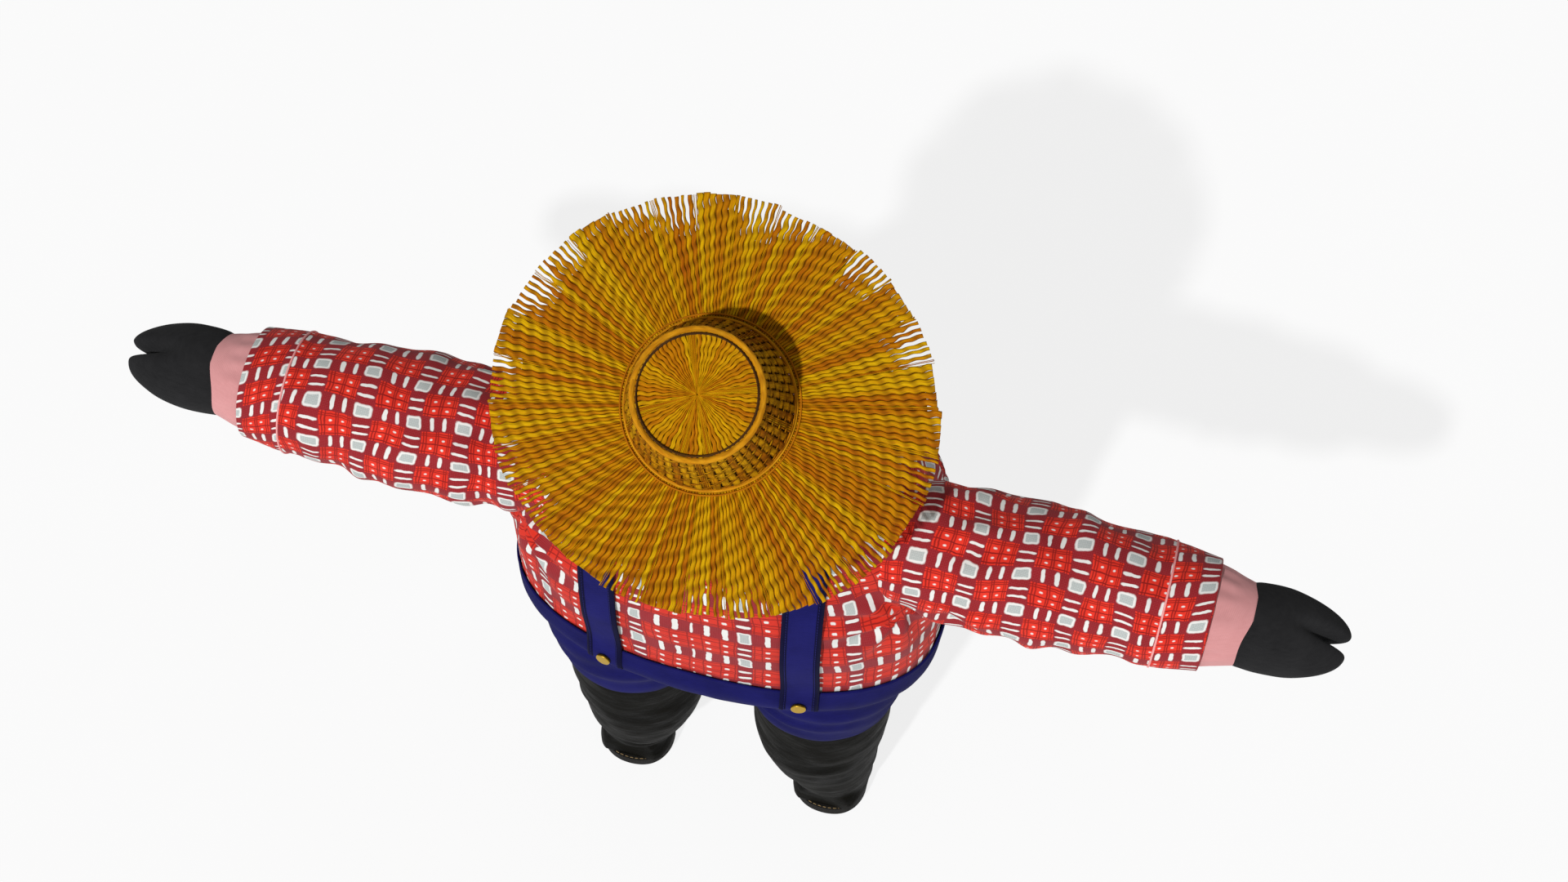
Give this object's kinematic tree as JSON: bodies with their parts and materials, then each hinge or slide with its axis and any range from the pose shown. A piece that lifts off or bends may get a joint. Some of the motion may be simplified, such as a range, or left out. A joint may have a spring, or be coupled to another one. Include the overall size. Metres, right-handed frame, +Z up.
{
  "type": "scarecrow figure",
  "caption": "Stuffed pig-farmer scarecrow that stands on its boots with arms straight out; its arms swing, its head turns and its straw hat lifts off.",
  "frame": {"origin": "on the ground, in the middle of the box that the whole figure fills", "axes": "+X to the figure's left along its outstretched arms, -Y the way the figure faces, +Z up"},
  "size_m": [1.486, 0.4926, 1.2904],
  "materials": {
    "timber": "matte",
    "steel": "satin",
    "stuffing": "matte",
    "plaid_shirt": "matte",
    "shirt_button": "satin",
    "navy_cloth": "matte",
    "brass": "satin",
    "boot_leather": "satin",
    "boot_sole": "matte",
    "pink_cloth": "matte",
    "hoof_black": "matte",
    "eye_black": "gloss",
    "straw": "matte",
    "straw_edge": "matte",
    "hat_lining": "matte"
  },
  "bodies": {
    "figure": {"hip_board": "timber", "spine_post": "timber", "shoulder_bar": "timber", "leg_post_left": "timber", "leg_post_right": "timber", "foot_block_left": "timber", "foot_block_right": "timber", "hip_screws": "steel", "shoulder_screws": "steel", "neck_dowel": "timber", "neck": "pink_cloth", "pivot_bolts": "steel", "pivot_washers": "steel", "wing_nuts": "steel", "torso_stuffing": "stuffing", "leg_stuffing_left": "stuffing", "leg_stuffing_right": "stuffing", "shirt_body": "plaid_shirt", "shirt_placket": "plaid_shirt", "shirt_buttons": "shirt_button", "collar": "plaid_shirt", "shorts": "navy_cloth", "strap_left": "navy_cloth", "strap_right": "navy_cloth", "brass_buttons": "brass", "boot_left": "boot_leather", "boot_right": "boot_leather", "sole_left": "boot_sole", "sole_right": "boot_sole"},
    "head": {"head": "pink_cloth", "neck_socket": "timber", "snout": "pink_cloth", "eyes": "eye_black", "ear_left": "pink_cloth", "ear_right": "pink_cloth"},
    "hat": {"hat_brim": "straw", "hat_crown": "straw", "hat_rings": "straw_edge", "hat_sweatband": "hat_lining"},
    "arm_left": {"arm_rod_left": "timber", "arm_stuffing_left": "stuffing", "sleeve_left": "plaid_shirt", "wrist_left": "pink_cloth", "hoof_left": "hoof_black"},
    "arm_right": {"arm_rod_right": "timber", "arm_stuffing_right": "stuffing", "sleeve_right": "plaid_shirt", "wrist_right": "pink_cloth", "hoof_right": "hoof_black"}
  },
  "joints": [
    {"name": "head_turn", "type": "hinge", "parent": "figure", "child": "head", "pos_m": [0, 0.025, 1.09], "axis": [0, 0, 1], "range_deg": [-60, 60]},
    {"name": "hat_lift", "type": "slide", "parent": "head", "child": "hat", "axis": [0, 0.3746, 0.9272], "range_m": [0, 0.2]},
    {"name": "arm_left_swing", "type": "hinge", "parent": "figure", "child": "arm_left", "pos_m": [0.25, 0.022, 0.902], "axis": [0, 1, 0], "range_deg": [-30, 20]},
    {"name": "arm_right_swing", "type": "hinge", "parent": "figure", "child": "arm_right", "pos_m": [-0.25, 0.022, 0.902], "axis": [0, -1, 0], "range_deg": [-30, 20]}
  ]
}
